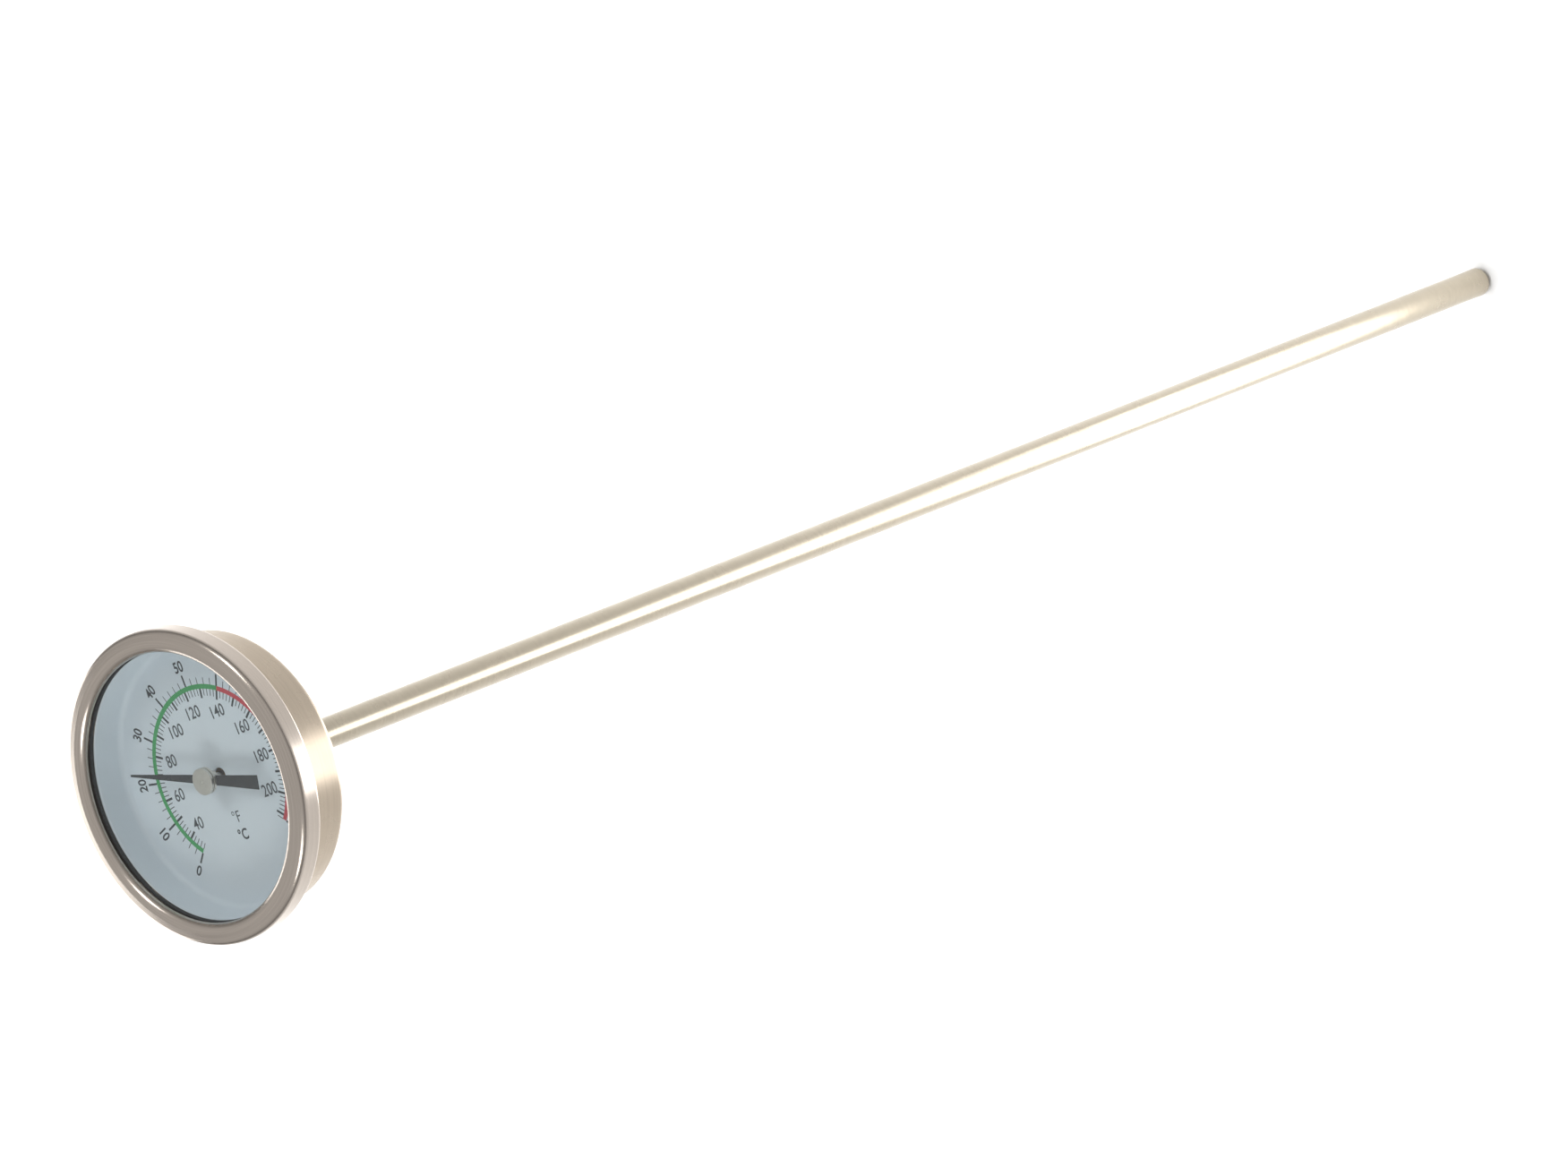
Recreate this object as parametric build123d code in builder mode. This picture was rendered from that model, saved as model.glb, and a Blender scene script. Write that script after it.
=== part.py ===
"""Dial thermometer with a long immersion stem: a stainless head that holds a white dial and a
black pointer, and a stainless tube that holds the bimetal helix turning the pointer.

Millimetres. The stem stands along +Z, with the origin at the tip of the stem on its axis, and the
dial faces +Z. Twelve o'clock on the dial is +Y and three o'clock is +X.
"""

import math
import os

from build123d import *

os.makedirs("parts", exist_ok=True)

# ---- Driving dimensions ----

# Head
bezel_radius = 32.0
sheet = 0.6
aperture_radius = 27.4
stem_length = 400.0
head_depth = 16.2
case_radius = 28.2
case_corner_radius = 1.5
bezel_depth = 5.5
bezel_front_radius = 1.3
bezel_crest_radius = 29.4  # from the axis to where the front begins to slope back
bezel_crest_bend = 3.0
bezel_slope_drop = 0.55
bezel_rear_radius = 0.8
lip_depth = 1.5
crimp_inner_radius = 28.8
flange_bend_radius = 0.7

# Window and dial
glass_radius = 31.1
glass_thickness = 1.5
glass_edge_chamfer = 0.2
gasket_inner_radius = 27.4
gasket_thickness = 1.0
dial_sheet = 0.3
dial_wall_radius = 27.2
dial_floor_depth = 11.25
dial_floor_fillet = 1.2
dial_rim_bend_radius = 0.35
dial_hole_radius = 1.5

# Pointer
pointer_angle = 163.2
pointer_reach = 21.5
pointer_tip_width = 0.4
pointer_mid_reach = 11.3
pointer_mid_width = 1.18
pointer_hub_width = 1.9
tail_reach = 13.9
tail_end_width = 2.9
blade_depth = 7.6
blade_thickness = 0.3
hub_radius = 2.7
hub_front_depth = 6.15
hub_disc_thickness = 0.6
hub_face_thickness = 0.5
hub_edge_chamfer = 0.15
hub_groove_radius = 2.3
hub_groove_width = 0.25
hub_spigot_radius = 1.0
hub_dimple_radius = 0.45
hub_dimple_depth = 0.25
pointer_bush_radius = 1.4
pointer_bush_thickness = 1.6

# Stem
stem_radius = 3.175
stem_wall = 0.5
stem_seat_radius = 2.925
tip_length = 1.8
tip_edge_radius = 1.4
tip_spigot_length = 6.0
bush_face_depth = 12.8
bush_flange_radius = 8.0
bush_flange_thickness = 1.5
bush_neck_radius = 4.3
bush_spigot_radius = 4.5
bush_spigot_length = 1.8
collar_radius = 6.0
collar_length = 4.8
collar_edge_radius = 0.8

# Shaft, bearings and bimetal helix
shaft_radius = 0.75
running_clearance = 0.06
bearing_length = 5.0
guide_length = 5.0
guide_chamfer = 0.4
guide_heights = [100.0, 180.0, 260.0, 340.0]
anchor_bottom = 10.0
anchor_length = 6.0
anchor_stub_length = 4.0
holder_radius = 1.75
pivot_radius = 1.2
pivot_bottom = 12.0
pivot_floor = 1.5
pivot_end_gap = 0.1
helix_radius = 1.9
helix_ribbon_thickness = 0.2
helix_ribbon_width = 0.9
helix_pitch = 1.3
helix_turns = 30
helix_start = 17.6
clip_length = 4.0

# ---- Places worked out from the driving dimensions ----

front = stem_length + head_depth
tube_bore_radius = stem_radius - stem_wall
half_sheet = sheet / 2
half_dial_sheet = dial_sheet / 2
glass_back_depth = lip_depth + glass_thickness
pan_rim_depth = glass_back_depth + gasket_thickness
flange_depth = pan_rim_depth + dial_sheet
case_inner_back_depth = head_depth - sheet
hub_rear_depth = blade_depth
hub_bore_end_depth = hub_front_depth + hub_face_thickness
spigot_end_depth = blade_depth + blade_thickness + pointer_bush_thickness
shaft_foot = pivot_bottom + pivot_floor + pivot_end_gap
anchor_top = anchor_bottom + anchor_length
pivot_top = anchor_top + anchor_stub_length
bearing_bore = shaft_radius + running_clearance
helix_height = helix_pitch * helix_turns
clip_bottom = helix_start + helix_height - clip_length / 2


def height(depth):
    """Height above the stem's tip of a point this far behind the front of the bezel."""
    return front - depth


def at(radius, depth):
    """Point of a head section, from its radius and its depth behind the front of the bezel."""
    return (radius, height(depth))


def finish(piece, label):
    """Labels a finished piece and writes it to its own file."""
    piece.part.label = label
    export_step(piece.part, f"parts/{label}.step")


# ---- Head ----

# Rolled ring: a lip turned in on to the glass, a front that slopes back outside its crest, a side
# wall, and a rear edge that is crimped under the flange of the case. The lip's bend ends just short
# of its edge.
lip_bend_radius = lip_depth - half_sheet - 0.01
with BuildPart() as bezel_ring:
    with BuildSketch(Plane.XZ):
        with BuildLine():
            FilletPolyline(
                at(aperture_radius + half_sheet, lip_depth),
                at(aperture_radius + half_sheet, half_sheet),
                at(bezel_crest_radius, half_sheet),
                at(bezel_radius - half_sheet, half_sheet + bezel_slope_drop),
                at(bezel_radius - half_sheet, bezel_depth - half_sheet),
                at(crimp_inner_radius, bezel_depth - half_sheet),
                radius=[
                    lip_bend_radius,
                    bezel_crest_bend,
                    bezel_front_radius - half_sheet,
                    bezel_rear_radius - half_sheet,
                ],
            )
        trace(line_width=sheet)
    revolve(axis=Axis.Z)
finish(bezel_ring, "bezel_ring")

# Drawn cup: a flange under the dial pan, a straight wall, and a flat back with a hole for the bush.
with BuildPart() as case_cup:
    with BuildSketch(Plane.XZ):
        with BuildLine():
            FilletPolyline(
                at(glass_radius, flange_depth + half_sheet),
                at(case_radius - half_sheet, flange_depth + half_sheet),
                at(case_radius - half_sheet, head_depth - half_sheet),
                at(bush_spigot_radius, head_depth - half_sheet),
                radius=[flange_bend_radius, case_corner_radius - half_sheet],
            )
        trace(line_width=sheet)
    revolve(axis=Axis.Z)
finish(case_cup, "case_cup")

# Flat window, its edges just broken.
with BuildPart() as window_glass:
    with BuildSketch(Plane.XY.offset(height(glass_back_depth))):
        Circle(glass_radius)
    extrude(amount=glass_thickness)
    chamfer(window_glass.edges().filter_by(GeomType.CIRCLE), length=glass_edge_chamfer)
finish(window_glass, "window_glass")

# Flat rubber ring between the window and the rim of the dial pan.
with BuildPart() as window_gasket:
    with BuildSketch(Plane.XY.offset(height(pan_rim_depth))):
        Circle(glass_radius)
        Circle(gasket_inner_radius, mode=Mode.SUBTRACT)
    extrude(amount=gasket_thickness)
finish(window_gasket, "window_gasket")

# Dial pressed as a shallow pan: a rim held under the gasket, a wall, and the flat printed floor.
with BuildPart() as dial_pan:
    with BuildSketch(Plane.XZ):
        with BuildLine():
            FilletPolyline(
                at(glass_radius, pan_rim_depth + half_dial_sheet),
                at(dial_wall_radius + half_dial_sheet, pan_rim_depth + half_dial_sheet),
                at(dial_wall_radius + half_dial_sheet, dial_floor_depth + half_dial_sheet),
                at(dial_hole_radius, dial_floor_depth + half_dial_sheet),
                radius=[dial_rim_bend_radius, dial_floor_fillet + half_dial_sheet],
            )
        trace(line_width=dial_sheet)
    revolve(axis=Axis.Z)
finish(dial_pan, "dial_pan")

# ---- Stem ----

# Flanged bush inside the case back: its spigot passes through the hole and the stem is fixed in it.
with BuildPart() as case_bush:
    with BuildSketch(Plane.XY.offset(height(case_inner_back_depth))):
        Circle(bush_flange_radius)
    extrude(amount=bush_flange_thickness)
    with BuildSketch(Plane.XY.offset(height(case_inner_back_depth))):
        Circle(bush_neck_radius)
    extrude(amount=case_inner_back_depth - bush_face_depth)
    with BuildSketch(Plane.XY.offset(height(case_inner_back_depth))):
        Circle(bush_spigot_radius)
    extrude(amount=-bush_spigot_length)
    with Locations((0, 0, height(bush_face_depth))):
        Hole(stem_seat_radius)
finish(case_bush, "case_bush")

# Collar behind the case, brazed on to the spigot so that it clamps the case back to the bush.
collar_top = height(head_depth)
spigot_end = height(case_inner_back_depth) - bush_spigot_length
with BuildPart() as stem_collar:
    with BuildSketch(Plane.XY.offset(collar_top)):
        Circle(collar_radius)
    extrude(amount=-collar_length)
    fillet(stem_collar.edges().group_by(Axis.Z)[0], radius=collar_edge_radius)
    with BuildSketch(Plane.XY.offset(collar_top)):
        Circle(bush_spigot_radius)
    extrude(amount=spigot_end - collar_top, mode=Mode.SUBTRACT)
    with BuildSketch(Plane.XY.offset(collar_top)):
        Circle(stem_seat_radius)
    extrude(amount=-collar_length, mode=Mode.SUBTRACT)
finish(stem_collar, "stem_collar")

# Straight seamless tube from the tip plug to the face of the bush inside the case. Its top is
# turned down to a seat, so that its shoulder stops against the collar.
shoulder = collar_top - collar_length
with BuildPart() as stem_tube:
    with BuildSketch(Plane.XY.offset(tip_length)):
        Circle(stem_radius)
        Circle(tube_bore_radius, mode=Mode.SUBTRACT)
    extrude(amount=shoulder - tip_length)
    with BuildSketch(Plane.XY.offset(shoulder)):
        Circle(stem_seat_radius)
        Circle(tube_bore_radius, mode=Mode.SUBTRACT)
    extrude(amount=height(bush_face_depth) - shoulder)
finish(stem_tube, "stem_tube")

# Rounded plug welded into the lower end of the tube.
with BuildPart() as stem_tip_plug:
    with BuildSketch(Plane.XY):
        Circle(stem_radius)
    extrude(amount=tip_length)
    fillet(stem_tip_plug.edges().group_by(Axis.Z)[0], radius=tip_edge_radius)
    with BuildSketch(Plane.XY.offset(tip_length)):
        Circle(tube_bore_radius)
    extrude(amount=tip_spigot_length)
finish(stem_tip_plug, "stem_tip_plug")

# ---- Bearings ----

# Bearing pressed into the top of the tube, its face level with the bush around it.
with BuildPart() as upper_bearing:
    with BuildSketch(Plane.XY.offset(height(bush_face_depth))):
        Circle(tube_bore_radius)
        Circle(bearing_bore, mode=Mode.SUBTRACT)
    extrude(amount=-bearing_length)
finish(upper_bearing, "upper_bearing")

# Guides that keep the long shaft straight, pressed into the tube at even steps.
for number, guide_height in enumerate(guide_heights, start=1):
    with BuildPart() as shaft_guide:
        with BuildSketch(Plane.XY.offset(guide_height)):
            Circle(tube_bore_radius)
        extrude(amount=guide_length)
        chamfer(shaft_guide.edges().filter_by(GeomType.CIRCLE), length=guide_chamfer)
        with Locations((0, 0, guide_height)):
            Hole(bearing_bore)
    finish(shaft_guide, f"shaft_guide_{number}")

# Anchor for the fixed end of the helix: a plug crimped in the tube, with a stub inside the helix.
with BuildPart() as helix_anchor:
    with BuildSketch(Plane.XY.offset(anchor_bottom)):
        Circle(tube_bore_radius)
    extrude(amount=anchor_length)
    with BuildSketch(Plane.XY.offset(anchor_top)):
        Circle(holder_radius)
    extrude(amount=anchor_stub_length)
    with BuildSketch(Plane.XY.offset(pivot_top)):
        Circle(pivot_radius)
    extrude(amount=pivot_bottom - pivot_top, mode=Mode.SUBTRACT)
finish(helix_anchor, "helix_anchor")

# Pivot bush in the anchor, closed at the bottom, that carries the foot of the shaft.
with BuildPart() as lower_bearing:
    with BuildSketch(Plane.XY.offset(pivot_bottom)):
        Circle(pivot_radius)
    extrude(amount=pivot_top - pivot_bottom)
    with BuildSketch(Plane.XY.offset(pivot_bottom + pivot_floor)):
        Circle(bearing_bore)
    extrude(amount=pivot_top - pivot_bottom - pivot_floor, mode=Mode.SUBTRACT)
finish(lower_bearing, "lower_bearing")

# Bimetal ribbon wound as a helix, fixed to the anchor below and to the clip above.
with BuildPart() as bimetal_helix:
    with BuildLine(Plane.XY.offset(helix_start)) as winding:
        Helix(pitch=helix_pitch, height=helix_height, radius=helix_radius)
    start_plane = Plane(origin=winding.line @ 0, x_dir=(1, 0, 0), z_dir=winding.line % 0)
    with BuildSketch(start_plane):
        Rectangle(helix_ribbon_thickness, helix_ribbon_width)
    sweep(path=winding.line, is_frenet=True)
finish(bimetal_helix, "bimetal_helix")

# ---- Moving pieces ----

# Long shaft from the pivot bush up to the blind bore of the hub.
with BuildPart() as pointer_shaft:
    with BuildSketch(Plane.XY.offset(shaft_foot)):
        Circle(shaft_radius)
    extrude(amount=height(hub_bore_end_depth) - shaft_foot)
finish(pointer_shaft, "pointer_shaft")

# Collar pressed on the shaft, to which the top of the helix is welded.
with BuildPart() as helix_clip:
    with BuildSketch(Plane.XY.offset(clip_bottom)):
        Circle(holder_radius)
        Circle(shaft_radius, mode=Mode.SUBTRACT)
    extrude(amount=clip_length)
finish(helix_clip, "helix_clip")

# Turned hub: two discs with a groove between them, a spigot that takes the blade, a blind bore
# for the shaft, and a punched dimple in the middle of its face.
groove_front_depth = hub_front_depth + hub_disc_thickness
groove_rear_depth = groove_front_depth + hub_groove_width
with BuildPart() as pointer_hub:
    with BuildSketch(Plane.XY.offset(height(hub_rear_depth))):
        Circle(hub_radius)
    extrude(amount=hub_rear_depth - hub_front_depth)
    chamfer(pointer_hub.edges().group_by(Axis.Z)[-1], length=hub_edge_chamfer)
    with BuildSketch(Plane.XY.offset(height(groove_rear_depth))):
        Circle(hub_radius)
        Circle(hub_groove_radius, mode=Mode.SUBTRACT)
    extrude(amount=hub_groove_width, mode=Mode.SUBTRACT)
    with BuildSketch(Plane.XY.offset(height(hub_rear_depth))):
        Circle(hub_spigot_radius)
    extrude(amount=hub_rear_depth - spigot_end_depth)
    with BuildSketch(Plane.XY.offset(height(spigot_end_depth))):
        Circle(shaft_radius)
    extrude(amount=spigot_end_depth - hub_bore_end_depth, mode=Mode.SUBTRACT)
    with BuildSketch(Plane.XZ):
        with BuildLine():
            Polyline(
                at(0, hub_front_depth),
                at(hub_dimple_radius, hub_front_depth),
                at(0, hub_front_depth + hub_dimple_depth),
                close=True,
            )
        make_face()
    revolve(axis=Axis.Z, mode=Mode.SUBTRACT)
finish(pointer_hub, "pointer_hub")

# Blade cut from one strip: a tapered needle, a boss round the hole, and a square tail that
# balances it.
turn = math.radians(pointer_angle)
blade_plane = Plane(
    origin=(0, 0, height(blade_depth + blade_thickness)),
    x_dir=(math.cos(turn), math.sin(turn), 0),
    z_dir=(0, 0, 1),
)
with BuildPart() as pointer_blade:
    with BuildSketch(blade_plane):
        with BuildLine():
            Polyline(
                (-tail_reach, tail_end_width / 2),
                (0, pointer_hub_width / 2),
                (pointer_mid_reach, pointer_mid_width / 2),
                (pointer_reach, pointer_tip_width / 2),
                (pointer_reach, -pointer_tip_width / 2),
                (pointer_mid_reach, -pointer_mid_width / 2),
                (0, -pointer_hub_width / 2),
                (-tail_reach, -tail_end_width / 2),
                close=True,
            )
        make_face()
        Circle(pointer_bush_radius)
        Circle(hub_spigot_radius, mode=Mode.SUBTRACT)
    extrude(amount=blade_thickness)
finish(pointer_blade, "pointer_blade")

# Brass ring riveted over the spigot, which holds the blade against the hub.
with BuildPart() as pointer_bush:
    with BuildSketch(Plane.XY.offset(height(spigot_end_depth))):
        Circle(pointer_bush_radius)
        Circle(hub_spigot_radius, mode=Mode.SUBTRACT)
    extrude(amount=pointer_bush_thickness)
finish(pointer_bush, "pointer_bush")
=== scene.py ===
# %% [markdown]
# # A dial thermometer with a long stem
# The stem goes into a bath, such as a tank of developer, and the white dial is read from above.
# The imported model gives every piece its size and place. This script gives each piece the surface
# that the real one has, and draws what is printed on the dial.
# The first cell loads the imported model. Nothing that it holds is moved or resized.

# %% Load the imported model
import math

import bmesh
import bpy
from mathutils import Matrix, Vector


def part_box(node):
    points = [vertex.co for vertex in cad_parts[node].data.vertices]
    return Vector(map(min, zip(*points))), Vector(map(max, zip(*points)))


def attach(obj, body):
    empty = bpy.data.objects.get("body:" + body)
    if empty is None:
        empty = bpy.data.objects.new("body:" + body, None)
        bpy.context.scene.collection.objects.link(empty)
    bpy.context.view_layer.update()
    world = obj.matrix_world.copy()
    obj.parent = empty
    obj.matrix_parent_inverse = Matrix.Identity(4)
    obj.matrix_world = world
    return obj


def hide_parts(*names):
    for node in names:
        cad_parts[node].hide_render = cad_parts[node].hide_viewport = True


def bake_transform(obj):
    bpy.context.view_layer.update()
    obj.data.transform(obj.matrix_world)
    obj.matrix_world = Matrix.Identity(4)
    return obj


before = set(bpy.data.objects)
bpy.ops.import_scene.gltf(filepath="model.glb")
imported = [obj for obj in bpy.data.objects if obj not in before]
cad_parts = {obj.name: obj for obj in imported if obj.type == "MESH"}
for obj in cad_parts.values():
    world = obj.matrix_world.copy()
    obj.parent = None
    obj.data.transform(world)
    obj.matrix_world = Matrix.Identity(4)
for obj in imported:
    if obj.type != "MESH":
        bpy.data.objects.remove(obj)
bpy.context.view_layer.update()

MM = 0.001

# %% [markdown]
# ## Places read from the model
# The heights of the head, stem, pointer and print come from the nodes' own boxes, so a change in the
# model moves those looks with it.
# The head is measured from the front of its bezel, as a gauge maker's drawing would be.

# %% Heights and radii of the main pieces
bezel_low, bezel_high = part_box("bezel_ring")
case_low, case_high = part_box("case_cup")
glass_low, glass_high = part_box("window_glass")
gasket_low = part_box("window_gasket")[0]
pan_low, pan_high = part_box("dial_pan")
tube_low, tube_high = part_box("stem_tube")
tip_low, tip_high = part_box("stem_tip_plug")
collar_low, collar_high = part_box("stem_collar")
blade_low, blade_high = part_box("pointer_blade")
hub_low, hub_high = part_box("pointer_hub")

FRONT = bezel_high.z
DIAL_SHEET = 0.3 * MM
DIAL_FACE = pan_low.z + DIAL_SHEET
STEM_RADIUS = tube_high.x
print("head depth, mm:", round((FRONT - case_low.z) / MM, 2))
print("dial face behind the bezel front, mm:", round((FRONT - DIAL_FACE) / MM, 2))


# %% [markdown]
# ## Colours and node helpers
# A colour is written as the sRGB hex value that a paint chart would give, and one function turns
# it to the linear numbers that Cycles mixes. One helper adds a shader node with its settings and
# its links, so a material reads as a short list of steps.

# %% Colour and node helpers
def paint(hex_code):
    """Linear RGBA of an sRGB hex colour."""
    channels = [int(hex_code[i:i + 2], 16) / 255 for i in (1, 3, 5)]
    linear = [c / 12.92 if c <= 0.04045 else ((c + 0.055) / 1.055) ** 2.4 for c in channels]
    return (*linear, 1.0)


def add(tree, kind, inputs=None, **settings):
    """Adds a node of this kind with its settings. An input gets a value, a socket or a node."""
    made = tree.nodes.new(kind)
    for key, value in settings.items():
        setattr(made, key, value)
    for key, value in (inputs or {}).items():
        if isinstance(value, bpy.types.Node):
            value = value.outputs[0]
        if isinstance(value, bpy.types.NodeSocket):
            tree.links.new(value, made.inputs[key])
        else:
            made.inputs[key].default_value = value
    return made


def start_material(name):
    """An empty node material, its tree and its output node."""
    material = bpy.data.materials.new(name)
    material.use_nodes = True
    tree = material.node_tree
    tree.nodes.clear()
    return material, tree, add(tree, "ShaderNodeOutputMaterial")


def finish_material(made, surface):
    """Links the last shader of a material to its output."""
    material, tree, output = made
    tree.links.new(surface, output.inputs["Surface"])
    return material


# %% [markdown]
# ## Stainless steel
# The bezel, the case and the stem are austenitic stainless steel. Spinning, turning and centreless
# grinding all leave grooves that run round the axis, so a highlight is sharp round the piece and
# smeared along it. That is anisotropy with its rough direction across the grooves.
# The grooves are a noise that changes fast with radius and height and hardly at all with angle.
# Real grooves are a few hundredths of a millimetre wide. They are drawn about 0.15 mm wide here,
# because finer ones would vanish in the picture.

# %% Steel with grooves that run round the axis
def round_the_axis(tree):
    """Object coordinates as radius, height and a short way round, in millimetres."""
    place = add(tree, "ShaderNodeTexCoord").outputs["Object"]
    split = add(tree, "ShaderNodeSeparateXYZ", {0: place})
    flat = add(tree, "ShaderNodeVectorMath", {0: place, 1: (1, 1, 0)}, operation="MULTIPLY")
    radius = add(tree, "ShaderNodeVectorMath", {0: flat.outputs[0]}, operation="LENGTH")
    angle = add(
        tree, "ShaderNodeMath", {0: split.outputs["Y"], 1: split.outputs["X"]}, operation="ARCTAN2"
    )
    turn = add(tree, "ShaderNodeMath", {0: angle.outputs[0], 1: 0.0004}, operation="MULTIPLY")
    rounded = add(
        tree,
        "ShaderNodeCombineXYZ",
        {"X": radius.outputs["Value"], "Y": turn.outputs[0], "Z": split.outputs["Z"]},
    )
    scaled = add(tree, "ShaderNodeVectorMath", {0: rounded.outputs[0]}, operation="SCALE")
    scaled.inputs["Scale"].default_value = 1 / MM
    return place, flat.outputs[0], scaled.outputs[0]


def turned_metal(name, colour, roughness, anisotropy, groove_mm=0.15, depth_mm=0.0012, tone=0.06):
    """Metal with fine grooves round the axis, a slight change of tone and faint handling marks."""
    made = start_material(name)
    tree = made[1]
    place, flat, rings = round_the_axis(tree)
    grooves = add(
        tree, "ShaderNodeTexNoise", {"Vector": rings, "Scale": 0.5 / groove_mm, "Detail": 3.0}
    )
    cloud = add(tree, "ShaderNodeTexNoise", {"Vector": place, "Scale": 140.0, "Detail": 2.0})
    shades = add(
        tree,
        "ShaderNodeMapRange",
        {"Value": grooves, "From Min": 0.3, "From Max": 0.7,
         "To Min": 1 - tone, "To Max": 1 + tone},
    )
    tinted = add(
        tree,
        "ShaderNodeVectorMath",
        {0: paint(colour)[:3], 1: shades.outputs["Result"]},
        operation="MULTIPLY",
    )
    spread = add(
        tree,
        "ShaderNodeMapRange",
        {"Value": cloud, "From Min": 0.3, "From Max": 0.7,
         "To Min": roughness * 0.9, "To Max": roughness * 1.12},
    )
    bump = add(
        tree,
        "ShaderNodeBump",
        {"Height": grooves, "Strength": 0.5, "Distance": depth_mm * MM},
    )
    around = add(
        tree, "ShaderNodeVectorMath", {0: (0.0, 0.0, 1.0), 1: flat}, operation="CROSS_PRODUCT"
    )
    tangent = add(tree, "ShaderNodeVectorMath", {0: around.outputs[0]}, operation="NORMALIZE")
    steel = add(
        tree,
        "ShaderNodeBsdfPrincipled",
        {"Base Color": tinted.outputs[0], "Metallic": 1.0, "Roughness": spread.outputs["Result"],
         "Anisotropic": anisotropy, "Anisotropic Rotation": 0.25,
         "Normal": bump.outputs[0], "Tangent": tangent.outputs[0]},
    )
    return finish_material(made, steel.outputs[0])


bezel_steel = turned_metal("polished_rolled_stainless", "#D0C5BA", 0.22, 0.5)
case_steel = turned_metal("satin_drawn_stainless", "#C6B8A6", 0.28, 0.6)
stem_steel = turned_metal("centreless_ground_stainless", "#BFB5A3", 0.26, 0.6)
collar_steel = turned_metal("turned_stainless", "#B4ACA1", 0.33, 0.5)
spindle_steel = turned_metal("drawn_steel_wire", "#B8B6B2", 0.25, 0.3)
hub_nickel = turned_metal("turned_nickel_plate", "#D6D2CA", 0.30, 0.3)
bush_brass = turned_metal("turned_brass", "#C9A45C", 0.32, 0.4)
bimetal = turned_metal("rolled_bimetal_strip", "#B59F80", 0.35, 0.3)
print("metals:", [m.name for m in bpy.data.materials if m.name != "Material"])


# %% [markdown]
# ## Window, rubber, enamel, ink and plastic
# The window is float glass. A shadow ray passes straight through it, because a renderer can't
# follow light that is bent twice on its way to the dial without a great deal of noise.
# The gasket is black nitrile rubber, dull and slightly mottled. The dial is white baked enamel with
# the soft unevenness of sprayed paint. The scale is silk-screened in satin ink, and the pointer is
# aluminium sprayed matte black.

# %% Other finishes
def float_glass(name):
    """Clear window glass that lets lamplight through to the dial."""
    made = start_material(name)
    tree = made[1]
    pane = add(
        tree,
        "ShaderNodeBsdfPrincipled",
        {"Base Color": paint("#FAFDFC"), "Roughness": 0.0, "IOR": 1.5, "Transmission Weight": 1.0},
    )
    clear = add(tree, "ShaderNodeBsdfTransparent", {"Color": paint("#F6FAF9")})
    lamp_ray = add(tree, "ShaderNodeLightPath").outputs["Is Shadow Ray"]
    either = add(tree, "ShaderNodeMixShader", {0: lamp_ray, 1: pane.outputs[0], 2: clear.outputs[0]})
    return finish_material(made, either.outputs[0])


def coated(name, colour, second, grain_mm, roughness, bump_mm, specular=0.5):
    """Paint, rubber, ink or plastic: two close shades mixed by a grain, which also dents it."""
    made = start_material(name)
    tree = made[1]
    place = add(tree, "ShaderNodeTexCoord").outputs["Object"]
    grain = add(
        tree,
        "ShaderNodeTexNoise",
        {"Vector": place, "Scale": 0.5 / (grain_mm * MM), "Detail": 3.0},
    )
    shade = add(tree, "ShaderNodeMix", {"Factor": grain}, data_type="RGBA")
    shade.inputs[6].default_value = paint(colour)
    shade.inputs[7].default_value = paint(second)
    spread = add(
        tree,
        "ShaderNodeMapRange",
        {"Value": grain, "To Min": roughness * 0.85, "To Max": roughness * 1.15},
    )
    bump = add(
        tree,
        "ShaderNodeBump",
        {"Height": grain, "Strength": 0.6, "Distance": bump_mm * MM},
    )
    body = add(
        tree,
        "ShaderNodeBsdfPrincipled",
        {"Base Color": shade.outputs[2], "Roughness": spread.outputs["Result"],
         "Specular IOR Level": specular, "Normal": bump.outputs[0]},
    )
    return finish_material(made, body.outputs[0])


window_glass = float_glass("float_glass")
black_rubber = coated("nitrile_rubber", "#17161A", "#242326", 0.25, 0.7, 0.01, specular=0.35)
enamel = coated("baked_white_enamel", "#DDE4EC", "#E4EAF1", 1.2, 0.42, 0.004)
black_ink = coated("black_screen_ink", "#34383E", "#3E4247", 0.12, 0.55, 0.002, specular=0.3)
grey_ink = coated("grey_screen_ink", "#4A4F56", "#565B61", 0.12, 0.55, 0.002, specular=0.3)
green_ink = coated("green_screen_ink", "#3F9E5C", "#48A865", 0.15, 0.5, 0.002, specular=0.3)
red_ink = coated("red_screen_ink", "#C8404C", "#D14A55", 0.15, 0.5, 0.002, specular=0.3)
pointer_paint = coated("matte_black_paint", "#2C2F33", "#3A3D41", 0.2, 0.6, 0.004, specular=0.35)
guide_plastic = coated("white_bearing_plastic", "#E3E2DC", "#EEEDE8", 0.3, 0.5, 0.004)


# %% [markdown]
# ## A lathe
# Nearly every piece of the head and stem is round, and most were really made on a lathe or by
# spinning sheet over a former. So one helper turns an outline of radius and height round the
# vertical axis and closes it at the axis. Its rings have many sides, which keeps reflections smooth.
# A second helper rounds the corners of a path with true arcs, and a third gives the path the
# thickness of its sheet. A fourth adds points beside each long run, or its smooth shading would
# bend the flat glass into a lens.

# %% Outline and lathe helpers
def depth(millimetres):
    """Height of a point this far behind the front of the bezel."""
    return FRONT - millimetres * MM


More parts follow.
